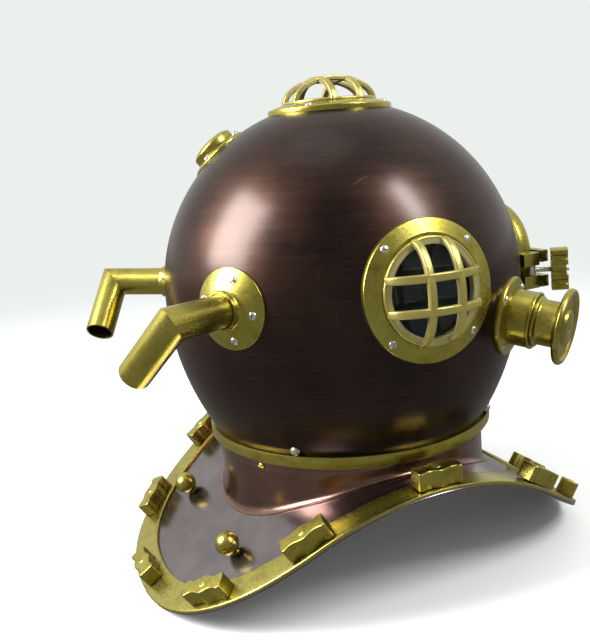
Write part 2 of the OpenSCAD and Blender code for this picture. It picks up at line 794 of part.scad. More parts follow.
module front_door()
    brass() on_window("front") difference() {
        union() {
            rotate_extrude() difference() {
                polygon([[sight_r, door_low], [door_r - 1, door_low], [door_r, door_low + 1],
                    [door_r, door_top - 5], [door_r - 1.5, door_top - 1.8], [door_r - 5, door_top],
                    [sight_r, door_top]]);
                translate([0, door_glass_z]) square([door_glass_r + 0.1, door_d]);
            }
            translate([hinge_x, 0, hinge_z]) rotate([90, 0, 0])
                cylinder(r = ear_r, h = knuckle_l - 2 * clear, center = true);
            translate([door_r - 6, -(knuckle_l / 2 - clear), hinge_z])
                cube([hinge_x - door_r + 6, knuckle_l - 2 * clear, ear_r]);
            for (side = [-1, 1]) door_prong(side);
        }
        translate([hinge_x, 0, hinge_z]) rotate([90, 0, 0])
            cylinder(r = pin_r + fit, h = 60, center = true);
    }

// One side of the fork that the swing bolt drops into
module door_prong(side)
    translate([-fork_reach, -latch_drop + side * (fork_gap + prong_w) / 2 - prong_w / 2, fork_low])
        cube([fork_reach - door_r + 10, prong_w, fork_top - fork_low]);

module front_door_glass()
    glass() on_window("front") translate([0, 0, door_glass_z + seat])
        cylinder(r = door_glass_r, h = glass_t);

module glass_retainer()
    brass() on_window("front")
        tube(door_glass_r, sight_r, door_glass_z + glass_t + 2 * seat, door_glass_z + glass_t + retainer_t);

module door_pins()
    steel() on_window("front") {
        translate([hinge_x, 0, hinge_z]) rotate([90, 0, 0])
            cylinder(r = pin_r, h = knuckle_l + 2 * ear_l, center = true);
        latch_spots(pivot_z) rotate([90, 0, 0]) cylinder(r = pin_r, h = eye_w + 2 * cheek_w, center = true);
    }

// Places children at the swing bolt's pivot, with Z along the bolt
module on_bolt()
    on_window("front") latch_spots(pivot_z) rotate([0, -bolt_rest_angle, 0]) children();

module swing_bolt()
    steel() on_bolt() difference() {
        union() {
            rotate([90, 0, 0]) cylinder(r = 4, h = eye_w - 0.2, center = true);
            cylinder(r = bolt_r, h = bolt_end);
        }
        rotate([90, 0, 0]) cylinder(r = pin_r + fit, h = 20, center = true);
    }

module latch_wing_nut()
    brass() on_bolt() translate([0, 0, bolt_seat]) rotate([0, 0, 90]) wing_nut(bolt_r + fit);

breastplate_sheet();
collar();
lower_neck_ring();
neck_gasket();
collar_screws();
brail_front_right();
brail_front_left();
brail_rear_left();
brail_rear_right();
brail_studs();
lashing_balls();
for (i = [1 : len(nut_angles)]) brail_nut(i - 1);
bonnet_shell();
upper_neck_ring();
neck_ring_screws();
for (w = window_names) {
    brass() window_frame(w);
    brass() on_window(w) window_guard();
    glass() on_window(w) window_glass();
}
window_gaskets();
window_screws();
right_elbow_flange();
left_elbow_flange();
right_elbow();
left_elbow();
fitting_screws();
rear_cap_flange();
rear_cap();
exhaust_body();
exhaust_barrel();
exhaust_disc();
exhaust_spring();
exhaust_handwheel();
front_window_frame();
front_gasket();
front_door();
front_door_glass();
glass_retainer();
door_pins();
swing_bolt();
latch_wing_nut();
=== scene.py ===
"""Looks of the diving helmet: copper bonnet and breastplate, brass fittings, glazed windows."""
import math

import bmesh
import bpy
import numpy as np
from mathutils import Matrix, Vector

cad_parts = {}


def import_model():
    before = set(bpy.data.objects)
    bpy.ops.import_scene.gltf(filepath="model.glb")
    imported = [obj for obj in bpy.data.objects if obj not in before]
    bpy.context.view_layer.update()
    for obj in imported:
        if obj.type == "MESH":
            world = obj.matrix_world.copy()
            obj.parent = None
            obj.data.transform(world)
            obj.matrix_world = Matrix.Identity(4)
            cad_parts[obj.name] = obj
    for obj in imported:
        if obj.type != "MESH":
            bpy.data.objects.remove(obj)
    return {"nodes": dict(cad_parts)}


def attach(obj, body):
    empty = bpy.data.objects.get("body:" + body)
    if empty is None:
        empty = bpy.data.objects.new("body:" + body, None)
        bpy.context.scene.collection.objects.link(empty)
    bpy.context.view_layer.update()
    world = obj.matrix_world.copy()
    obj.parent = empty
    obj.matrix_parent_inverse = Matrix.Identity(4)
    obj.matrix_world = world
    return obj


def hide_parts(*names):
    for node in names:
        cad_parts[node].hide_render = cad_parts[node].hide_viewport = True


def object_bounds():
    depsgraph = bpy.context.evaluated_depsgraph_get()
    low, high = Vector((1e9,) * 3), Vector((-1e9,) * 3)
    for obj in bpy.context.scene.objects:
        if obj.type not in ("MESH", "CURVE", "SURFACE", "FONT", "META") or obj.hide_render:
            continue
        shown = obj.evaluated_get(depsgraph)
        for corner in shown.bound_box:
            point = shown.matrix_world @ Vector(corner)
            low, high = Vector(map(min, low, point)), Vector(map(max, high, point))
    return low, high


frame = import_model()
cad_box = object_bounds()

# Sizes and places of the part's source, in millimetres and degrees
MM = 0.001
CENTRE_H = 121
BONNET_R = 150
LOWER_ARC_R = 221.9
LOWER_ARC_X = -71.9
FOOT_Z = 8.7
SHEET_T = 1.8
PLATE_W, PLATE_L, PLATE_POWER = 155, 199.5, 2.42
SHOULDER_DROP, ARCH_R, ARCH_SLOPE = 14, 181, math.radians(33.2)
PLATE_BORE, PLATE_T = 114.2, 2
BRAIL_W, BRAIL_T, BRAIL_JOINT = 20, 2.5, 12
COLLAR_R, COLLAR_BORE, COLLAR_TOP = 115.5, 113.5, -3.25
NUT_ANGLES = [0, 26, 55, 90, 125, 154, 180, 206, 235, 270, 305, 334]
NUT_H, NUT_GAP = 13.5, 0.28
BALL_R, BALL_H, BALL_PLACE = 9.5, 10.1, (64.5, 135)
GUARD_R, GUARD_H, GUARD_X, GUARD_FOOT = 38.5, 22, 11.5, 148.5
VALVE = (-55, -9)
VALVE_SEAT, VALVE_TILT = 150.6, 2.906
CAP = (150, 50)
WINDOWS = {"top": (0, 90), "right": (-90, 4.2), "left": (90, 4.2), "front": (0, 2)}
ELBOW_AZ, ELBOW_EL, ELBOW_DROOP = 147, 2.3, 44
ELBOW_CORNER, ELBOW_LEG = 208.5, 55
WINDOW_HOLE, ELBOW_HOLE, VALVE_HOLE = 39.4, 11.9, 16.9
NECK_SCREW_H, COLLAR_SCREW_Z = 4, -7.5
SIDES = {-1: "right", 1: "left"}


# Places

def spun(degrees, axis="Z"):
    return Matrix.Rotation(math.radians(degrees), 4, axis)


def shifted(x, y, z):
    return Matrix.Translation((x, y, z))


def on_bonnet(az, el, d=0.0):
    """Frame on a line out of the bonnet's centre, Z outward and Y up."""
    return shifted(0, 0, CENTRE_H) @ spun(az) @ spun(90 - el, "X") @ shifted(0, 0, d)


def oval(t, inset=0.0):
    c, s = math.cos(t), math.sin(t)
    p = 2 / PLATE_POWER
    return ((PLATE_W - inset) * math.copysign(abs(c) ** p, c),
            (PLATE_L - inset) * math.copysign(abs(s) ** p, s))


def sheet_tilt(y):
    if abs(y) < ARCH_R * math.sin(ARCH_SLOPE):
        return math.asin(y / ARCH_R)
    return math.copysign(ARCH_SLOPE, y)


def sheet_z(y):
    bend = ARCH_R * math.sin(ARCH_SLOPE)
    if abs(y) < bend:
        return -SHOULDER_DROP - ARCH_R + math.sqrt(ARCH_R ** 2 - y * y)
    return -SHOULDER_DROP - ARCH_R * (1 - math.cos(ARCH_SLOPE)) - (abs(y) - bend) * math.tan(ARCH_SLOPE)


def sheet_point(x, y, lift=0.0):
    """Point over the breastplate's upper face, lifted square to it."""
    a = sheet_tilt(y)
    return (x, y + lift * math.sin(a), sheet_z(y) + lift * math.cos(a))


def on_sheet(x, y, lift=0.0):
    return shifted(x, y, sheet_z(y)) @ Matrix.Rotation(-sheet_tilt(y), 4, "X") @ shifted(0, 0, lift)


def on_nut(degrees, lift=0.0):
    x, y = oval(math.radians(degrees), BRAIL_W / 2)
    ahead, behind = (oval(math.radians(degrees + k), BRAIL_W / 2) for k in (1, -1))
    turn = math.atan2((ahead[1] - behind[1]) / math.cos(sheet_tilt(y)), ahead[0] - behind[0])
    return on_sheet(x, y, lift) @ Matrix.Rotation(turn, 4, "Z")


# Shapes

def loft(sections, cyclic=True):
    """Skin over sections of equal length, each a closed loop of points."""
    grid = np.asarray(sections, float)
    m, n = grid.shape[:2]
    i, j = np.meshgrid(np.arange(m if cyclic else m - 1), np.arange(n), indexing="ij")
    k, q = (i + 1) % m, (j + 1) % n
    faces = np.stack([i * n + j, i * n + q, k * n + q, k * n + j], -1).reshape(-1, 4).tolist()
    if not cyclic:
        faces += [list(range(n))[::-1], list(range((m - 1) * n, m * n))]
    return grid.reshape(-1, 3), faces


def lathe(profile, steps=128):
    """A closed loop of (radius, height) points turned round Z."""
    turn = np.linspace(0, 2 * math.pi, steps, endpoint=False)
    p = np.asarray(profile, float)
    return loft([np.column_stack([p[:, 0] * math.cos(a), p[:, 0] * math.sin(a), p[:, 1]]) for a in turn])


def soften(points, radius, steps=4):
    """Rounds the corners of a closed loop, except those on the axis."""
    p = np.asarray(points, float)
    out = []
    for i, corner in enumerate(p):
        before, after = p[i - 1] - corner, p[(i + 1) % len(p)] - corner
        lb, la = np.linalg.norm(before), np.linalg.norm(after)
        if corner[0] < 1e-6 or min(lb, la) < 1e-6:
            out.append(corner)
            continue
        start = corner + before * min(radius / lb, 0.48)
        end = corner + after * min(radius / la, 0.48)
        for t in np.linspace(0, 1, steps):
            out.append((1 - t) ** 2 * start + 2 * t * (1 - t) * corner + t * t * end)
    return np.array(out)


def placed(shape, matrix):
    points, faces = shape
    m = np.array(matrix)
    return np.asarray(points) @ m[:3, :3].T + m[:3, 3], faces


def tidy_mesh(mesh, merge=1e-6, recalculate=True):
    work = bmesh.new()
    work.from_mesh(mesh)
    bmesh.ops.remove_doubles(work, verts=work.verts, dist=merge)
    if recalculate:
        bmesh.ops.recalc_face_normals(work, faces=work.faces)
    work.to_mesh(mesh)
    work.free()


def show(name, mesh, body, material, nodes, sharp=32):
    """Makes a mesh one shown piece that stands for CAD nodes."""
    mesh.name = name
    mesh.materials.clear()
    mesh.materials.append(material)
    mesh.shade_smooth()
    mesh.set_sharp_from_angle(angle=math.radians(sharp))
    piece = bpy.data.objects.new(name, mesh)
    bpy.context.scene.collection.objects.link(piece)
    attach(piece, body)
    if nodes:
        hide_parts(*nodes)


def plain_mesh(shapes):
    points, faces, base = [], [], 0
    for p, f in shapes:
        points.append(np.asarray(p) * MM)
        faces += [[base + k for k in face] for face in f]
        base += len(p)
    mesh = bpy.data.meshes.new("shape")
    mesh.from_pydata(np.vstack(points).tolist(), [], faces)
    tidy_mesh(mesh)
    return mesh


def made(name, shapes, body, material, nodes=(), sharp=32):
    show(name, plain_mesh(shapes), body, material, nodes, sharp)


def settled(holder):
    """The holder's evaluated shape as a plain mesh; the holder goes."""
    bpy.context.view_layer.update()
    graph = bpy.context.evaluated_depsgraph_get()
    mesh = bpy.data.meshes.new_from_object(holder.evaluated_get(graph), depsgraph=graph)
    bpy.data.objects.remove(holder)
    return mesh


def holder_of(mesh):
    holder = bpy.data.objects.new("holder", mesh)
    bpy.context.scene.collection.objects.link(holder)
    return holder


def eased(name, node, body, material, edge, steps=2):
    """A copy of a CAD node with its sharp edges eased."""
    mesh = frame["nodes"][node].data.copy()
    for layer in [a for a in mesh.attributes if a.name == "custom_normal"]:
        mesh.attributes.remove(layer)
    tidy_mesh(mesh, 2e-6, recalculate=False)
    holder = holder_of(mesh)
    ease = holder.modifiers.new("ease", "BEVEL")
    ease.width = edge * MM
    ease.segments = steps
    ease.limit_method = "ANGLE"
    ease.angle_limit = math.radians(34)
    ease.use_clamp_overlap = True
    ease.miter_outer = "MITER_ARC"
    show(name, settled(holder), body, material, [node], 40)


# Materials

class Tone:
    """A socket of a material's tree. Arithmetic on it adds Math nodes."""

    def __init__(self, tree, socket=None):
        self.tree, self.socket = tree, socket

    def node(self, kind, settings=None, out=0, **inputs):
        made_node = self.tree.nodes.new(kind)
        for key, value in (settings or {}).items():
            setattr(made_node, key, value)
        for key, value in inputs.items():
            socket = made_node.inputs[int(key[1:]) if key[1:].isdigit() else key.replace("_", " ")]
            if isinstance(value, Tone):
                self.tree.links.new(value.socket, socket)
            else:
                socket.default_value = value
        return Tone(self.tree, made_node.outputs[out])

    def math(self, operation, a, b=0.0):
        return self.node("ShaderNodeMath", {"operation": operation}, s0=a, s1=b)

    def __add__(self, other):
        return self.math("ADD", self, other)

    __radd__ = __add__

    def __sub__(self, other):
        return self.math("SUBTRACT", self, other)

    def __rsub__(self, other):
        return self.math("SUBTRACT", other, self)

    def __mul__(self, other):
        return self.math("MULTIPLY", self, other)

    __rmul__ = __mul__


class Finish:
    """A material being built, with the pattern nodes that the finishes share."""

    def __init__(self, name):
        self.material = bpy.data.materials.new(name)
        self.material.use_nodes = True
        self.tree = self.material.node_tree
        self.shader = self.tree.nodes["Principled BSDF"]
        self.root = Tone(self.tree)
        self.place = self.root.node("ShaderNodeTexCoord", out=3)

    def stretched(self, x, y, z, turn=(0, 0, 0)):
        return self.root.node("ShaderNodeMapping", Vector=self.place, Rotation=turn, Scale=(x, y, z))

    def noise(self, scale, detail=4.0, rough=0.55, vector=None):
        return self.root.node("ShaderNodeTexNoise", Vector=vector or self.place, Scale=scale,
                              Detail=detail, Roughness=rough)

    def ramp(self, value, low, high):
        return self.root.node("ShaderNodeMapRange", Value=value, From_Min=low, From_Max=high)

    def crevice(self, distance, inside=False):
        """0 in the open, rising to 1 in a corner, or on an edge when seen from inside."""
        seen = self.root.node("ShaderNodeAmbientOcclusion", {"samples": 6, "inside": inside},
                              out=1, Distance=distance)
        return 1 - seen

    def mix(self, a, b, amount):
        full = [c if isinstance(c, Tone) else (*c, 1) for c in (a, b)]
        return self.root.node("ShaderNodeMix", {"data_type": "RGBA"},
                              out=2, s0=amount, s6=full[0], s7=full[1])

    def close(self, colour, roughness, metallic, height=None, depth=0.05, strength=1.0, **fixed):
        given = {"Base Color": colour, "Roughness": roughness, "Metallic": metallic, **fixed}
        for label, value in given.items():
            label = label.replace("_", " ")
            if isinstance(value, Tone):
                self.tree.links.new(value.socket, self.shader.inputs[label])
            else:
                self.shader.inputs[label].default_value = value
        if height is not None:
            bump = self.root.node("ShaderNodeBump", Strength=strength, Distance=depth * MM, Height=height)
            self.tree.links.new(bump.socket, self.shader.inputs["Normal"])
        return self.material


def patina_copper(name, deep, mid, worn, spin, gloss, limb):
    """Dark lacquered copper: soft clouds, spinning marks, fine scratches, worn edges, and painted shade
    with grime in crevices.

    Spin is the marks' scale on each axis, gloss the roughness, limb the brightness at grazing angles.
    """
    f = Finish(name)
    clouds = f.ramp(f.noise(11, 6, 0.6), 0.34, 0.68)
    marks = f.noise(1, 3, vector=f.stretched(*spin))
    scratch = f.ramp(f.noise(1, 2, vector=f.stretched(900, 40, 60, (0.4, 0.2, 0.9))), 0.66, 0.72)
    scratch = scratch * f.ramp(f.noise(22, 2), 0.5, 0.62)
    colour = f.mix(deep, mid, clouds * 0.75 + f.ramp(marks, 0.35, 0.65) * 0.25)
    colour = f.mix(colour, worn, f.ramp(f.crevice(0.0011, inside=True), 0.45, 0.8) * 0.7 + scratch * 0.25)
    # Painted shade: corners and gaps within 12 mm of other surfaces are darkened, standing for shade there
    # and for grime.
    colour = f.mix(colour, [c * 0.35 for c in deep], f.ramp(f.crevice(0.012), 0.3, 0.95) * 0.6)
    rough = gloss + marks * 0.08 + clouds * 0.05 + scratch * 0.12
    return f.close(colour, rough, 1.0, height=marks + scratch * -0.6, depth=0.04, strength=0.3,
                   Coat_Weight=0.45, Coat_Roughness=0.24,
                   Specular_Tint=(limb, limb * 0.93, limb * 0.9, 1))


def antique_brass(name, deep, mid, bright):
    """Satin brass: olive clouds, brushed grain, painted shade with grime in corners, and rubbed edges."""
    f = Finish(name)
    clouds = f.ramp(f.noise(34, 5), 0.34, 0.68)
    brushed = f.noise(1, 3, vector=f.stretched(260, 260, 1400, (0.3, 0.5, 0.2)))
    pits = f.noise(900, 2)
    colour = f.mix(mid, bright, clouds * 0.5 + f.ramp(brushed, 0.35, 0.7) * 0.35)
    colour = f.mix(colour, deep, f.ramp(f.noise(75, 4), 0.52, 0.78) * 0.45)
    colour = f.mix(colour, bright, f.ramp(f.crevice(0.0016, inside=True), 0.3, 0.75) * 0.85)
    # Painted shade: corners within 5 mm of other surfaces are darkened, standing for shade there and for
    # grime.
    colour = f.mix(colour, [c * 0.45 for c in deep], f.ramp(f.crevice(0.005), 0.25, 0.9) * 0.75)
    rough = 0.25 + brushed * 0.13 + clouds * -0.05 + f.ramp(pits, 0.5, 0.8) * 0.08
    return f.close(colour, rough, 1.0, height=brushed * 0.6 + pits * 0.4, depth=0.05, strength=0.5)


def cast_brass():
    """The guards: rough pale cast sides and rubbed outer faces."""
    f = Finish("cast_brass")
    rubbed = f.root.node("ShaderNodeAttribute", {"attribute_name": "rubbed"}, out=2)
    rubbed = f.ramp(rubbed + f.noise(160, 3) * 0.3, 0.5, 0.8)
    lumps = f.noise(420, 4)
    colour = f.mix((0.42, 0.38, 0.18), (0.40, 0.34, 0.095), rubbed)
    colour = f.mix(colour, (0.2, 0.15, 0.05), f.ramp(f.noise(90, 4), 0.55, 0.75) * (0.5 - rubbed * 0.3))
    # Painted shade: corners within 4 mm, such as where bars meet the ring, are darkened, standing for shade
    # there and for grime.
    colour = f.mix(colour, (0.10, 0.08, 0.03), f.ramp(f.crevice(0.004), 0.3, 0.95) * 0.6)
    rough = 0.62 - rubbed * 0.28
    return f.close(colour, rough, 0.8, height=lumps, depth=0.35, strength=0.6)


def bright_steel():
    f = Finish("bright_steel")
    turned = f.noise(700, 3)
    colour = f.mix((0.50, 0.48, 0.42), (0.74, 0.72, 0.66), f.ramp(turned, 0.35, 0.65))
    # Painted shade: screw slots and joins within 1.5 mm are darkened strongly, standing for shade there and
    # for grime.
    colour = f.mix(colour, (0.08, 0.06, 0.03), f.ramp(f.crevice(0.0015), 0.35, 0.9) * 0.85)
    return f.close(colour, 0.24 + turned * 0.12, 0.95, height=turned, depth=0.02, strength=0.4)


def black_rubber():
    f = Finish("black_rubber")
    mottle = f.noise(500, 3)
    return f.close(f.mix((0.012, 0.012, 0.012), (0.035, 0.034, 0.032), mottle), 0.6 + mottle * 0.2, 0.0,
                   height=mottle, depth=0.05, strength=0.4)


def plate_glass():
    f = Finish("plate_glass")
    film = f.ramp(f.noise(60, 4), 0.4, 0.75)
    # Near-black and nearly opaque: painted shade standing for the dark inside of the helmet behind the
    # glass. The film is a real smear.
    colour = f.mix((0.004, 0.005, 0.005), (0.03, 0.033, 0.03), film * 0.4)
    return f.close(colour, 0.03 + film * 0.05, 0.0, Alpha=0.88, IOR=1.45)


copper_bonnet = patina_copper("copper_bonnet", deep=(0.010, 0.0048, 0.0034), mid=(0.054, 0.0235, 0.0140),
                              worn=(0.16, 0.08, 0.06), spin=(14, 14, 420), gloss=0.33, limb=0.68)
copper_plate = patina_copper("copper_plate", deep=(0.15, 0.125, 0.131), mid=(0.26, 0.220, 0.226),
                             worn=(0.30, 0.20, 0.17), spin=(60, 60, 60), gloss=0.16, limb=1.0)
copper_collar = patina_copper("copper_collar", deep=(0.11, 0.052, 0.038), mid=(0.28, 0.150, 0.115),
                              worn=(0.34, 0.18, 0.12), spin=(14, 14, 420), gloss=0.18, limb=0.9)
brass = antique_brass("brass", deep=(0.10, 0.079, 0.010), mid=(0.33, 0.275, 0.042),
                      bright=(0.58, 0.50, 0.12))
brass_brail = antique_brass("brass_brail", deep=(0.12, 0.095, 0.014), mid=(0.34, 0.285, 0.058),
                            bright=(0.54, 0.47, 0.14))
brass_guard = cast_brass()
steel = bright_steel()
rubber = black_rubber()
glass = plate_glass()


# Geometry trees

def new_tree(name, inputs):
    tree = bpy.data.node_groups.new(name, "GeometryNodeTree")
    tree.interface.new_socket("Geometry", in_out="INPUT", socket_type="NodeSocketGeometry")
    for label, kind, value in inputs:
        socket = tree.interface.new_socket(label, in_out="INPUT", socket_type=kind)
        if value is not None:
            socket.default_value = value
    tree.interface.new_socket("Geometry", in_out="OUTPUT", socket_type="NodeSocketGeometry")
    start, end = tree.nodes.new("NodeGroupInput"), tree.nodes.new("NodeGroupOutput")

    def step(kind, settings=None, **inputs_of):
        new = tree.nodes.new(kind)
        for key, value in (settings or {}).items():
            setattr(new, key, value)
        for key, value in inputs_of.items():
            socket = new.inputs[int(key[1:]) if key[1:].isdigit() else key.replace("_", " ")]
            for source in value if isinstance(value, list) else [value]:
                if isinstance(source, bpy.types.NodeSocket):
                    tree.links.new(source, socket)
                else:
                    socket.default_value = source
        return new

    return tree, start.outputs, end.inputs[0], step


def grown(tree, mesh, values):
    """Runs a tree on a mesh and gives the plain result."""
    holder = holder_of(mesh)
    modifier = holder.modifiers.new("grow", "NODES")
    modifier.node_group = tree
    for item in tree.interface.items_tree:
        if item.in_out == "INPUT" and item.name in values:
            modifier[item.identifier] = values[item.name]
    return settled(holder)


def screw_tree():
    """Domed, slotted screws on points, along each point's axis."""
    tree, given, result, step = new_tree("slotted_screws", [
        ("Head Radius", "NodeSocketFloat", 0.0031), ("Head Height", "NodeSocketFloat", 0.002),
        ("Slot Width", "NodeSocketFloat", 0.0009), ("Shank Radius", "NodeSocketFloat", 0.0019),
        ("Shank Length", "NodeSocketFloat", 0.007), ("Material", "NodeSocketMaterial", None)])
    flat = step("ShaderNodeCombineXYZ", X=1.0, Y=1.0,
                Z=step("ShaderNodeMath", {"operation": "DIVIDE"}, s0=given["Head Height"],
                       s1=given["Head Radius"]).outputs[0])
    dome = step("GeometryNodeTransform", Scale=flat.outputs[0], Geometry=step(
        "GeometryNodeMeshUVSphere", Segments=28, Rings=16, Radius=given["Head Radius"]).outputs["Mesh"])
    size = step("ShaderNodeCombineXYZ", X=0.02, Y=given["Slot Width"], Z=given["Head Height"])
    top = step("ShaderNodeCombineXYZ", Z=given["Head Height"])
    bar = step("GeometryNodeTransform", Translation=top.outputs[0], Geometry=step(
        "GeometryNodeMeshCube", Size=size.outputs[0]).outputs["Mesh"])
    head = step("GeometryNodeMeshBoolean", {"operation": "DIFFERENCE"},
                s0=dome.outputs[0], s1=bar.outputs[0])
    down = step("ShaderNodeCombineXYZ", Z=step("ShaderNodeMath", {"operation": "MULTIPLY"},
                                               s0=given["Shank Length"], s1=-0.5).outputs[0])
    shank = step("GeometryNodeTransform", Translation=down.outputs[0], Geometry=step(
        "GeometryNodeMeshCylinder", Vertices=20, Radius=given["Shank Radius"],
        Depth=given["Shank Length"]).outputs["Mesh"])
    screw = step("GeometryNodeJoinGeometry", s0=[head.outputs[0], shank.outputs[0]])
    axis = step("GeometryNodeInputNamedAttribute", {"data_type": "FLOAT_VECTOR"}, Name="axis")
    turn = step("GeometryNodeInputNamedAttribute", {"data_type": "FLOAT"}, Name="turn")
    aligned = step("FunctionNodeAlignRotationToVector", {"axis": "Z"}, Vector=axis.outputs[0])
    spin = step("FunctionNodeAxisAngleToRotation", Axis=(0, 0, 1), Angle=turn.outputs[0])
    turned = step("FunctionNodeRotateRotation", {"rotation_space": "LOCAL"},
                  s0=aligned.outputs[0], s1=spin.outputs[0])
    placed_on = step("GeometryNodeInstanceOnPoints", Points=given["Geometry"], Instance=screw.outputs[0],
                     Rotation=turned.outputs[0])
    real = step("GeometryNodeRealizeInstances", Geometry=placed_on.outputs[0])
    final = step("GeometryNodeSetMaterial", Geometry=real.outputs[0], Material=given["Material"])
    tree.links.new(final.outputs[0], result)
    return tree


def bar_tree():
    """Rounded bars swept along the edges of a mesh, flat to each point's side."""
    tree, given, result, step = new_tree("guard_bars", [
        ("Width", "NodeSocketFloat", 0.0048), ("Depth", "NodeSocketFloat", 0.0042),
        ("Rounding", "NodeSocketFloat", 0.001), ("Material", "NodeSocketMaterial", None)])
    path = step("GeometryNodeMeshToCurve", Mesh=given["Geometry"])
    side = step("GeometryNodeInputNamedAttribute", {"data_type": "FLOAT_VECTOR"}, Name="side")
    turned = step("GeometryNodeSetCurveNormal", {"mode": "FREE"},
                  Curve=path.outputs[0], Normal=side.outputs[0])
    block = step("GeometryNodeCurvePrimitiveQuadrilateral", Width=given["Width"], Height=given["Depth"])
    smooth = step("GeometryNodeFilletCurve", {"mode": "POLY"}, Curve=block.outputs[0],
                  Radius=given["Rounding"], Count=4)
    swept = step("GeometryNodeCurveToMesh", Curve=turned.outputs[0], Profile_Curve=smooth.outputs[0],
                 Fill_Caps=True)
    real = step("GeometryNodeRealizeInstances", Geometry=swept.outputs[0])
    final = step("GeometryNodeSetMaterial", Geometry=real.outputs[0], Material=given["Material"])
    tree.links.new(final.outputs[0], result)
    return tree


SCREWS = screw_tree()
BARS = bar_tree()


def screws(name, places, body, nodes, look=steel, slot="screw_steel", seed=1, **sizes):
    """One mesh of slotted screws, each place a matrix with its Z outward."""
    mesh = bpy.data.meshes.new("spots")
    mesh.from_pydata([tuple(m.translation * MM) for m in places], [], [])
    mesh.attributes.new("axis", "FLOAT_VECTOR", "POINT")
    mesh.attributes.new("turn", "FLOAT", "POINT")
    spin = np.random.default_rng(seed).uniform(0, 3.1, len(places))
    for i, m in enumerate(places):
        mesh.attributes["axis"].data[i].vector = tuple(m.col[2][:3])
        mesh.attributes["turn"].data[i].value = float(spin[i])
    values = {key.replace("_", " ").title(): value * MM for key, value in sizes.items()}
    mesh = grown(SCREWS, mesh, {**values, "Material": look})
    show(name, mesh, body, look, nodes, 30)


# Bonnet

def bonnet_line(inset):
    upper = [((BONNET_R - inset) * math.cos(a), (BONNET_R - inset) * math.sin(a))
             for a in np.linspace(math.pi / 2, 0, 56)]
    r = LOWER_ARC_R - inset
    low = math.asin((CENTRE_H - FOOT_Z) / LOWER_ARC_R)
    lower = [(LOWER_ARC_X + r * math.cos(a), -r * math.sin(a)) for a in np.linspace(0, low, 34)]
    return upper[:-1] + lower


def bonnet():
    outer, inner = bonnet_line(0), bonnet_line(SHEET_T)
    shape = placed(lathe(outer + inner[::-1], 224), shifted(0, 0, CENTRE_H))
    holder = holder_of(plain_mesh([shape]))
    openings = [(on_bonnet(*WINDOWS[w]), WINDOW_HOLE) for w in WINDOWS]
    openings += [(on_bonnet(side * ELBOW_AZ, ELBOW_EL), ELBOW_HOLE) for side in SIDES]
    openings += [(on_bonnet(*VALVE), VALVE_HOLE)]
    rod = [(0, 90), (1, 90), (1, 170), (0, 170)]
    cutters = [placed(lathe([(r * x, z) for x, z in rod], 64), m) for m, r in openings]
    cutter = holder_of(plain_mesh(cutters))
    cut = holder.modifiers.new("cut", "BOOLEAN")
    cut.object = cutter
    cut.solver = "EXACT"
    mesh = settled(holder)
    bpy.data.objects.remove(cutter)
    show("bonnet", mesh, "bonnet", copper_bonnet, ["bonnet_shell"], 40)


def window(name):
    place = on_bonnet(*WINDOWS[name])
    seat = [(39.5, 143.9), (43, 142.9), (47, 141.6), (51, 140.1)]
    rim = [(51, 144.6), (50.4, 145.3), (41.5, 148.1), (40.6, GUARD_FOOT), (36.4, GUARD_FOOT),
           (36.4, 138.8), (33.5, 138.8), (33.5, 136.3), (39.5, 136.3)]
    frame_shape = placed(lathe(soften(seat + rim, 0.7), 160), place)
    made(name + "_frame", [frame_shape], "bonnet", brass, [name + "_window_frame"])
    guard(name, place)


def guard(name, place):
    """Domed guard: two bars each way on a base ring, cast in one."""
    lines, sides, edges = [], [], []
    width, depth, rounding = 5.8, 4.2, 1.2
    for turn in (0, 1):
        for offset in (-GUARD_X, GUARD_X):
            share = math.sqrt(1 - (offset / GUARD_R) ** 2)
            start = len(lines)
            for a in np.linspace(0.04, math.pi - 0.04, 41):
                u = (GUARD_R - depth / 2) * share * math.cos(a)
                z = GUARD_FOOT + (GUARD_H - depth / 2) * share * math.sin(a)
                lines.append((offset, u, z) if turn else (u, offset, z))
                sides.append((1, 0, 0) if turn else (0, 1, 0))
            edges += [(k, k + 1) for k in range(start, len(lines) - 1)]
    mesh = bpy.data.meshes.new("paths")
    mesh.from_pydata((np.array(lines) * MM).tolist(), edges, [])
    side = mesh.attributes.new("side", "FLOAT_VECTOR", "POINT")
    for i, v in enumerate(sides):
        side.data[i].vector = v
    mesh = grown(BARS, mesh, {"Width": width * MM, "Depth": depth * MM, "Rounding": rounding * MM,
                              "Material": brass_guard})
    ring = lathe(soften([(32.5, 145.2), (36.3, 145.2), (36.3, GUARD_FOOT), (GUARD_R, GUARD_FOOT),
                         (GUARD_R, 150.2), (37.7, 151), (32.5, 151)], 0.8), 128)
    work = bmesh.new()
    work.from_mesh(mesh)
    ring_mesh = plain_mesh([ring])
    work.from_mesh(ring_mesh)
    rubbed = work.verts.layers.float.new("rubbed")
    for v in work.verts:
        x, y, z = v.co / MM
        out = math.sqrt((x * x + y * y) / GUARD_R ** 2 + ((z - GUARD_FOOT) / GUARD_H) ** 2)
        v[rubbed] = min(max((out - 0.9) / 0.09, 0.0), 1.0)
    scaled = place.copy()
    scaled.translation = place.translation * MM
    work.transform(scaled)
    work.to_mesh(mesh)
    work.free()
    show(name + "_guard", mesh, "bonnet", brass_guard, [name + "_window_guard"], 45)


def window_screw_places(name):
    return [on_bonnet(*WINDOWS[name]) @ spun(45 + 90 * k) @ shifted(46, 0, 146) @ spun(16, "Y")
            for k in range(4)]


bonnet()
for window_name in ("top", "right", "left"):
    window(window_name)
    frame["nodes"][window_name + "_window_glass"].data.materials[0] = glass
screws("window_screws", sum([window_screw_places(w) for w in ("top", "right", "left")], []),
       "bonnet", ["window_screws"], seed=4)


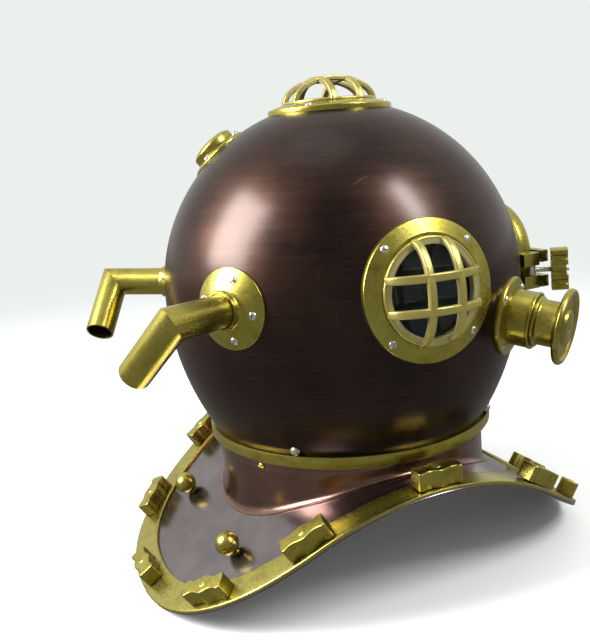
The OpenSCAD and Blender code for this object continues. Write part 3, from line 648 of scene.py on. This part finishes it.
def elbow_flange(side):
    """Domed round flange with a short boss for the elbow."""
    name = SIDES[side] + "_elbow_flange"
    place = on_bonnet(side * ELBOW_AZ, ELBOW_EL)
    dome = [(r, 100 + math.sqrt(57 ** 2 - r * r)) for r in np.linspace(29.6, 15.5, 14)]
    shape = [(30, 146.2)] + [(30, dome[0][1] - 0.3)] + dome
    shape += [(14.4, 155.6), (13.8, 156.6), (13.8, 160.5), (12.02, 160.5), (12.02, 149.1),
              (20, 148.3), (26, 147.3)]
    made(name + "_piece", [placed(lathe(soften(shape, 0.35, 3), 128), place)],
         "bonnet", brass, [name], 38)


def elbow(side):
    """Mitred tube: one leg out of the bonnet, one that drops toward the rear."""
    name = SIDES[side]
    turn = -ELBOW_DROOP if side > 0 else 180 + ELBOW_DROOP
    place = on_bonnet(side * ELBOW_AZ, ELBOW_EL) @ spun(turn)

    def ring(r, kind, at):
        a = np.linspace(0, 2 * math.pi, 72, endpoint=False)
        x, y = r * np.cos(a), r * np.sin(a)
        if kind == "leg":
            return np.column_stack([x, y, np.full_like(x, at)])
        if kind == "mitre":
            z = ELBOW_CORNER - x
            return np.column_stack([x + max(at, 0), y, z + min(at, 0)])
        return np.column_stack([np.full_like(x, at), y, ELBOW_CORNER - x])

    out, bore, end = 12, 10.6, ELBOW_LEG
    stations = [("leg", 147), ("leg", 180), ("mitre", -0.7), ("mitre", 0.7),
                ("tube", 30), ("tube", end - 0.5)]
    rings = [ring(out, *station) for station in stations]
    rings += [ring(out - 0.35, "tube", end), ring(bore + 0.35, "tube", end)]
    rings += [ring(bore, *station) for station in stations[::-1]]
    made(name + "_elbow_tube", [placed(loft(rings), place)], "bonnet", brass,
         [name + "_elbow"], 30)


for side in SIDES:
    elbow_flange(side)
    elbow(side)


def rear_cap():
    place = on_bonnet(*CAP)
    flange = [(5.9, 149.2), (16, 148.6), (22, 147.9), (27, 147), (27, 148.9), (26, 149.9),
              (20.6, 152.2), (19.8, 152.6), (5.9, 152.6)]
    cap = [(0, 152.65), (19.5, 152.65)]
    cap += [(8 + 11.5 * math.cos(a), 157.2 + 4.8 * math.sin(a)) for a in np.linspace(0, math.pi / 2, 14)]
    cap += [(0, 162)]
    made("rear_cap_flange_piece", [placed(lathe(soften(flange, 0.5)), place)], "bonnet",
         brass, ["rear_cap_flange"])
    made("rear_cap_piece", [placed(lathe(soften(cap, 0.6)), place)], "bonnet", brass,
         ["rear_cap"])


def exhaust_valve():
    place = on_bonnet(*VALVE)
    flange_place = on_bonnet(*VALVE, VALVE_SEAT) @ spun(-VALVE_TILT, "X")
    flange = [(17, -1.3), (24, -2.3), (30.5, -3.4), (30.5, 0.2), (29.6, 1.3), (24, 2.6), (22.6, 2.9),
              (17, 2.9)]
    chamber = [(17, 149), (21.5, 149), (21.5, 168), (22, 168.4), (22, 169.8), (21.5, 170.4), (17, 170.4)]
    made("exhaust_chamber", [placed(lathe(soften(flange, 0.7)), flange_place),
                             placed(lathe(soften(chamber, 0.4, 4)), place)],
         "bonnet", brass, ["exhaust_body"])
    barrel = [(3.05, 184.6), (3.05, 188.5), (17.6, 188.5), (18, 188.1), (18, 186.6), (17.4, 186),
              (17.4, 174.4), (18, 173.6), (19.5, 172.4), (19.5, 170.55), (16, 170.55), (16, 184.5)]
    made("exhaust_barrel_piece", [placed(lathe(soften(barrel, 0.3, 3)), place)], "bonnet",
         brass, ["exhaust_barrel"])
    base, bead, rim_r = 188.8, 2.8, 26.2
    wheel = [(0, base - 9), (3, base - 9), (3, base), (24, base), (rim_r, base)]
    wheel += [(rim_r + bead * math.sin(a), base + bead - bead * math.cos(a))
              for a in np.linspace(0.3, math.pi - 0.2, 14)]
    face = [(25.6, 5.4), (24.4, 4.4), (23.7, 3.4), (15, 3), (13.4, 3.4), (12.6, 5.2), (11.6, 5.8), (4, 5.8),
            (3.4, 5.4), (0, 5.4)]
    wheel += [(r, base + z) for r, z in face]
    made("exhaust_wheel_piece", [placed(lathe(wheel, 144), place)], "exhaust_wheel", brass,
         ["exhaust_handwheel"])


def fitting_screw_places():
    """Four screws on each elbow's flange, on the cap's and on the valve's."""
    places = []
    for side in SIDES:
        for angle in (72, 162, -78, -8):
            turned = 180 - angle if side > 0 else angle
            places.append(on_bonnet(side * ELBOW_AZ, ELBOW_EL) @ spun(turned)
                          @ shifted(22.5, 0, 152.2) @ spun(20, "Y"))
    for k in range(4):
        places.append(on_bonnet(*CAP) @ spun(75 + 90 * k) @ shifted(23.2, 0, 151.1) @ spun(22, "Y"))
        places.append(on_bonnet(*VALVE, VALVE_SEAT) @ spun(-VALVE_TILT, "X") @ spun(50 + 90 * k)
                      @ shifted(26.2, 0, 1.5) @ spun(20, "Y"))
    return places


def neck_screw_places():
    """Four screws through the foot of the bonnet, square to its lower arc."""
    drop = math.asin((CENTRE_H - FOOT_Z - NECK_SCREW_H) / LOWER_ARC_R)
    return [spun(45 + 90 * k) @ shifted(LOWER_ARC_X, 0, CENTRE_H)
            @ Matrix.Rotation(math.pi / 2 + drop, 4, "Y") @ shifted(0, 0, LOWER_ARC_R) for k in range(4)]


rear_cap()
exhaust_valve()
screws("fitting_screws", fitting_screw_places(), "bonnet", ["fitting_screws"], seed=9)
screws("neck_ring_screws", neck_screw_places(), "bonnet", ["neck_ring_screws"], seed=2, head_radius=4.1,
       head_height=3.2, slot_width=1.1)
eased("upper_ring", "upper_neck_ring", "bonnet", brass, 0.6)


# Breastplate

def breastplate():
    t = np.linspace(0, 2 * math.pi, 288, endpoint=False)
    sections = []
    for a in t:
        ox, oy = oval(a, 0.35)
        ex, ey = oval(a, 0.0)
        r = math.hypot(ox, oy)
        ix, iy = ox / r * PLATE_BORE, oy / r * PLATE_BORE
        across = [(ix + (ox - ix) * k, iy + (oy - iy) * k) for k in np.linspace(0, 1, 22)]
        top = [sheet_point(x, y, 0) for x, y in across]
        edge = [sheet_point(ex, ey, -0.4), sheet_point(ex, ey, 0.4 - PLATE_T)]
        low = [sheet_point(x, y, -PLATE_T) for x, y in across[::-1]]
        sections.append(top + edge + low)
    made("breastplate", [loft(sections)], "breastplate", copper_plate,
         ["breastplate_sheet"], 40)


def collar():
    """Spun collar whose foot flares out over the breastplate and ends in a crisp fold."""
    sections = []
    foot, rise = 119.8, 6.5
    for a in np.linspace(0, 2 * math.pi, 288, endpoint=False):
        c, s = math.cos(a), math.sin(a)
        z_foot = sheet_point(foot * c, foot * s)[2]
        z_wall = sheet_z(COLLAR_R * s)
        line = [(COLLAR_R - 0.3, COLLAR_TOP), (COLLAR_R, COLLAR_TOP - 0.5),
                (COLLAR_R, (COLLAR_TOP + z_wall + rise) / 2)]
        start, corner = (COLLAR_R, z_wall + rise), (COLLAR_R + 0.3, z_wall + 1.2)
        end = (foot - 0.4, z_foot + 0.9)
        if start[1] > COLLAR_TOP - 1:
            start = (COLLAR_R, COLLAR_TOP - 1)
        for k in np.linspace(0, 1, 9):
            line.append(tuple((1 - k) ** 2 * start[i] + 2 * k * (1 - k) * corner[i] + k * k * end[i]
                              for i in (0, 1)))
        line += [(foot, z_foot + 0.7), (foot, z_foot + 0.05)]
        line += [(r, sheet_z(r * s) + 0.05) for r in (118, COLLAR_BORE)] + [(COLLAR_BORE, COLLAR_TOP)]
        sections.append([(r * c, r * s, z) for r, z in line])
    made("collar_piece", [loft(sections)], "breastplate", copper_collar, ["collar"], 50)


def brail(name, x_side, y_side):
    """One brail: a strip round a quarter of the rim, its ends cut square to the joints."""
    gap, reach = 0.25, 1.2
    quarter = {(1, 1): 0, (-1, 1): 1, (-1, -1): 2, (1, -1): 3}[(x_side, y_side)]
    middle = quarter * math.pi / 2 + math.pi / 4
    ends = [(1, -BRAIL_JOINT + gap * y_side), (0, -BRAIL_JOINT + gap * x_side)]
    if x_side * y_side < 0:
        ends.reverse()

    def limit(inset, axis, value, far):
        """Angle between the brail's middle and far at which the rim crosses a value."""
        near = middle
        for _ in range(50):
            half = (near + far) / 2
            if (oval(near, inset)[axis] - value) * (oval(half, inset)[axis] - value) <= 0:
                far = half
            else:
                near = half
        return (near + far) / 2

    outline = [(0, 0.1), (0, 1.7), (0.5, 2.35), (1.2, BRAIL_T), (6.5, BRAIL_T), (13.5, BRAIL_T),
               (BRAIL_W - 1.2, BRAIL_T), (BRAIL_W - 0.5, 2.35), (BRAIL_W, 1.7), (BRAIL_W, 0.1)]
    columns = []
    for inset, lift in outline:
        first = limit(inset, *ends[0], middle - reach)
        last = limit(inset, *ends[1], middle + reach)
        steps = np.linspace(0, 1, 110)
        columns.append([sheet_point(*oval(first + (last - first) * k, inset), lift) for k in steps])
    sections = [list(row) for row in zip(*columns)]
    made(name + "_piece", [loft(sections, cyclic=False)], "breastplate", brass_brail,
         [name], 40)


breastplate()
collar()
for brail_name, xs, ys in (("brail_front_right", -1, -1), ("brail_front_left", 1, -1),
                           ("brail_rear_left", 1, 1), ("brail_rear_right", -1, 1)):
    brail(brail_name, xs, ys)
eased("lower_ring", "lower_neck_ring", "breastplate", brass, 0.6)
screws("collar_screws", [spun(a - 90) @ shifted(COLLAR_R, 0, COLLAR_SCREW_Z) @ spun(90, "Y")
                         for a in (-153, -33, 87)],
       "breastplate", ["collar_screws"], look=brass, slot="antique_brass", seed=3, shank_length=4)


def wing_nut(matrix):
    """Cast wing nut: a wavy block with round corners, waisted between hub and wings."""
    reach, corner = 18.5, 2.6
    side = [(x, 6.6 + 1.1 * math.cos(math.pi * x / 9.5))
            for x in np.linspace(corner - reach, reach - corner, 45)]
    y = side[-1][1] - corner
    side += [(reach - corner + corner * math.sin(a), y + corner * math.cos(a))
             for a in np.linspace(0, math.pi / 2, 9)[1:]]
    side = [(-x, v) for x, v in side[:44:-1]] + side
    outline = np.array(side + [(-x, -v) for x, v in side])
    tangent = np.roll(outline, -1, 0) - np.roll(outline, 1, 0)
    normal = np.column_stack([-tangent[:, 1], tangent[:, 0]]) / np.linalg.norm(tangent, axis=1)[:, None]
    levels = [(0.5, 0), (0.12, 0.15), (0, 0.6)]
    levels += [(inset, NUT_H - drop)
               for inset, drop in ((0, 0.9), (0.08, 0.53), (0.28, 0.24), (0.6, 0.06), (1, 0))]
    rows = [np.column_stack([outline - normal * inset, np.full(len(outline), z)]) for inset, z in levels]
    return placed(loft(rows, cyclic=False), matrix)


for i, degrees in enumerate(NUT_ANGLES):
    made("wing_nut_%d_piece" % (i + 1), [wing_nut(on_nut(degrees, BRAIL_T + NUT_GAP))], "nut_%d" % (i + 1),
         brass, ["wing_nut_%d" % (i + 1)], 50)
studs = [on_nut(t, BRAIL_T + NUT_H) for t in NUT_ANGLES]
screws("stud_ends", studs, "breastplate", ["brail_studs"], look=brass, slot="antique_brass", seed=6,
       head_radius=3.1, head_height=1, slot_width=0.9, shank_radius=2.6, shank_length=19)


def lashing_balls():
    ball = [(0, -4), (4, -4), (4, -2.05), (1.9, -2), (1.9, 0.05), (4.6, 0.05), (4.3, 1.2)]
    ball += [(BALL_R * math.sin(a), BALL_H - BALL_R * math.cos(a))
             for a in np.linspace(0.47, math.pi - 0.001, 40)]
    ball += [(0, BALL_H + BALL_R)]
    x, y = BALL_PLACE
    made("lashing_ball_pieces", [placed(lathe(ball, 64), on_sheet(side * x, y)) for side in SIDES],
         "breastplate", brass, ["lashing_balls"], 40)


lashing_balls()

# Front window, door and latch
eased("front_frame", "front_window_frame", "bonnet", brass, 0.6)
eased("door", "front_door", "door", brass, 0.6)
eased("door_retainer", "glass_retainer", "door", brass, 0.3)
eased("latch_bolt_piece", "swing_bolt", "latch_bolt", steel, 0.3)
eased("latch_nut_piece", "latch_wing_nut", "latch_nut", brass, 1.0, 3)
eased("pins", "door_pins", "bonnet", steel, 0.3)
for node_name, look in (("front_door_glass", glass), ("neck_gasket", rubber), ("window_gaskets", rubber),
                        ("front_gasket", rubber), ("exhaust_disc", brass), ("exhaust_spring", steel)):
    frame["nodes"][node_name].data.materials[0] = look


# Floor, light and camera

PALE = (0.84, 0.87, 0.85)
FLOOR_HALF = 12
PHOTO_HEIGHT, FOCAL = 640, 766.12


def floor():
    """Pale floor that fades into the backdrop and shows dim in reflections."""
    low = cad_box[0][2]
    mesh = bpy.data.meshes.new("floor")
    corners = [(x * FLOOR_HALF, y * FLOOR_HALF, low) for x, y in ((-1, -1), (1, -1), (1, 1), (-1, 1))]
    mesh.from_pydata(corners, [], [(0, 1, 2, 3)])
    ground = bpy.data.objects.new("floor", mesh)
    bpy.context.scene.collection.objects.link(ground)
    f = Finish("pale_floor")
    mesh.materials.append(f.close((0.84, 0.86, 0.85, 1), 0.75, 0.0, Specular_IOR_Level=0.2))
    away = f.root.node("ShaderNodeVectorMath", {"operation": "LENGTH"}, out=1, s0=f.place)
    camera_ray = f.root.node("ShaderNodeLightPath", out=0)
    backdrop = f.root.node("ShaderNodeEmission", Color=(*PALE, 1), Strength=1.0)
    blend = f.root.node("ShaderNodeMapRange", {"interpolation_type": "SMOOTHSTEP"}, Value=away,
                        From_Min=0.45, From_Max=1.9) * camera_ray
    plain = Tone(f.tree, f.shader.outputs[0])
    mixed = f.root.node("ShaderNodeMixShader", s0=blend, s1=plain, s2=backdrop)
    glossy_ray = Tone(f.tree, camera_ray.socket.node.outputs["Is Glossy Ray"])
    dim = f.root.node("ShaderNodeEmission", Color=(*PALE, 1), Strength=0.34)
    mixed = f.root.node("ShaderNodeMixShader", s0=glossy_ray, s1=mixed, s2=dim)
    f.tree.links.new(mixed.socket, f.tree.nodes["Material Output"].inputs["Surface"])


def world():
    """Pale room for the camera and for reflections, dimmer toward one side."""
    sky = bpy.data.worlds.new("studio")
    bpy.context.scene.world = sky
    sky.use_nodes = True
    tree = sky.node_tree
    tree.nodes.clear()
    root = Tone(tree)
    path = tree.nodes.new("ShaderNodeLightPath")
    camera_ray, glossy_ray, clear_ray = (Tone(tree, path.outputs["Is %s Ray" % k])
                                         for k in ("Camera", "Glossy", "Transmission"))
    seen = root.math("MAXIMUM", camera_ray, root.math("MAXIMUM", glossy_ray, clear_ray))
    look = root.node("ShaderNodeTexCoord", out=0)
    toward = root.node("ShaderNodeVectorMath", {"operation": "DOT_PRODUCT"}, out=1, s0=look,
                       s1=(0.90, -0.38, 0.2))
    room = root.node("ShaderNodeMapRange", {"interpolation_type": "SMOOTHSTEP"}, Value=toward,
                     From_Min=-0.5, From_Max=0.55, To_Min=0.28, To_Max=1.0)
    level = root.math("MAXIMUM", camera_ray, room)
    shown = root.node("ShaderNodeBackground", Color=(*PALE, 1), Strength=level)
    lit = root.node("ShaderNodeBackground", Color=(1, 1, 1, 1), Strength=0.8)
    mixed = root.node("ShaderNodeMixShader", s0=seen, s1=lit, s2=shown)
    out = tree.nodes.new("ShaderNodeOutputWorld")
    tree.links.new(mixed.socket, out.inputs["Surface"])


def lamp(name, place, target, size, power):
    light = bpy.data.lights.new(name, "AREA")
    light.shape = "RECTANGLE"
    light.size, light.size_y = size
    light.energy = power
    holder = bpy.data.objects.new(name, light)
    holder.location = place
    holder.rotation_euler = (Vector(target) - Vector(place)).to_track_quat("-Z", "Y").to_euler()
    bpy.context.scene.collection.objects.link(holder)


def camera():
    """Place, turn and focal length solved from the ellipses of the rings and windows."""
    eye = bpy.data.cameras.new("camera")
    eye.sensor_width = 36
    eye.lens = FOCAL * eye.sensor_width / PHOTO_HEIGHT
    eye.clip_end = 100
    holder = bpy.data.objects.new("camera", eye)
    turn = Matrix(((-0.377399, 0.169321, -0.910440), (-0.922949, -0.149176, 0.354841),
                   (-0.075734, 0.974206, 0.212574)))
    holder.matrix_world = Matrix.Translation((-0.5949, 0.2766, 0.2317)) @ turn.to_4x4()
    bpy.context.scene.collection.objects.link(holder)
    bpy.context.scene.camera = holder


floor()
world()
lamp("key", place=(0.157, 1.115, 0.77), target=(0, 0, 0.12), size=(0.62, 0.85), power=42)
lamp("streak", place=(-0.78, -0.526, 1.02), target=(0, 0, 0.12), size=(0.2, 0.55), power=12)
lamp("top", place=(0.2, 0.1, 1.8), target=(0, 0, 0.1), size=(0.8, 0.8), power=1.5)
camera()
bpy.context.scene.view_settings.view_transform = "Standard"
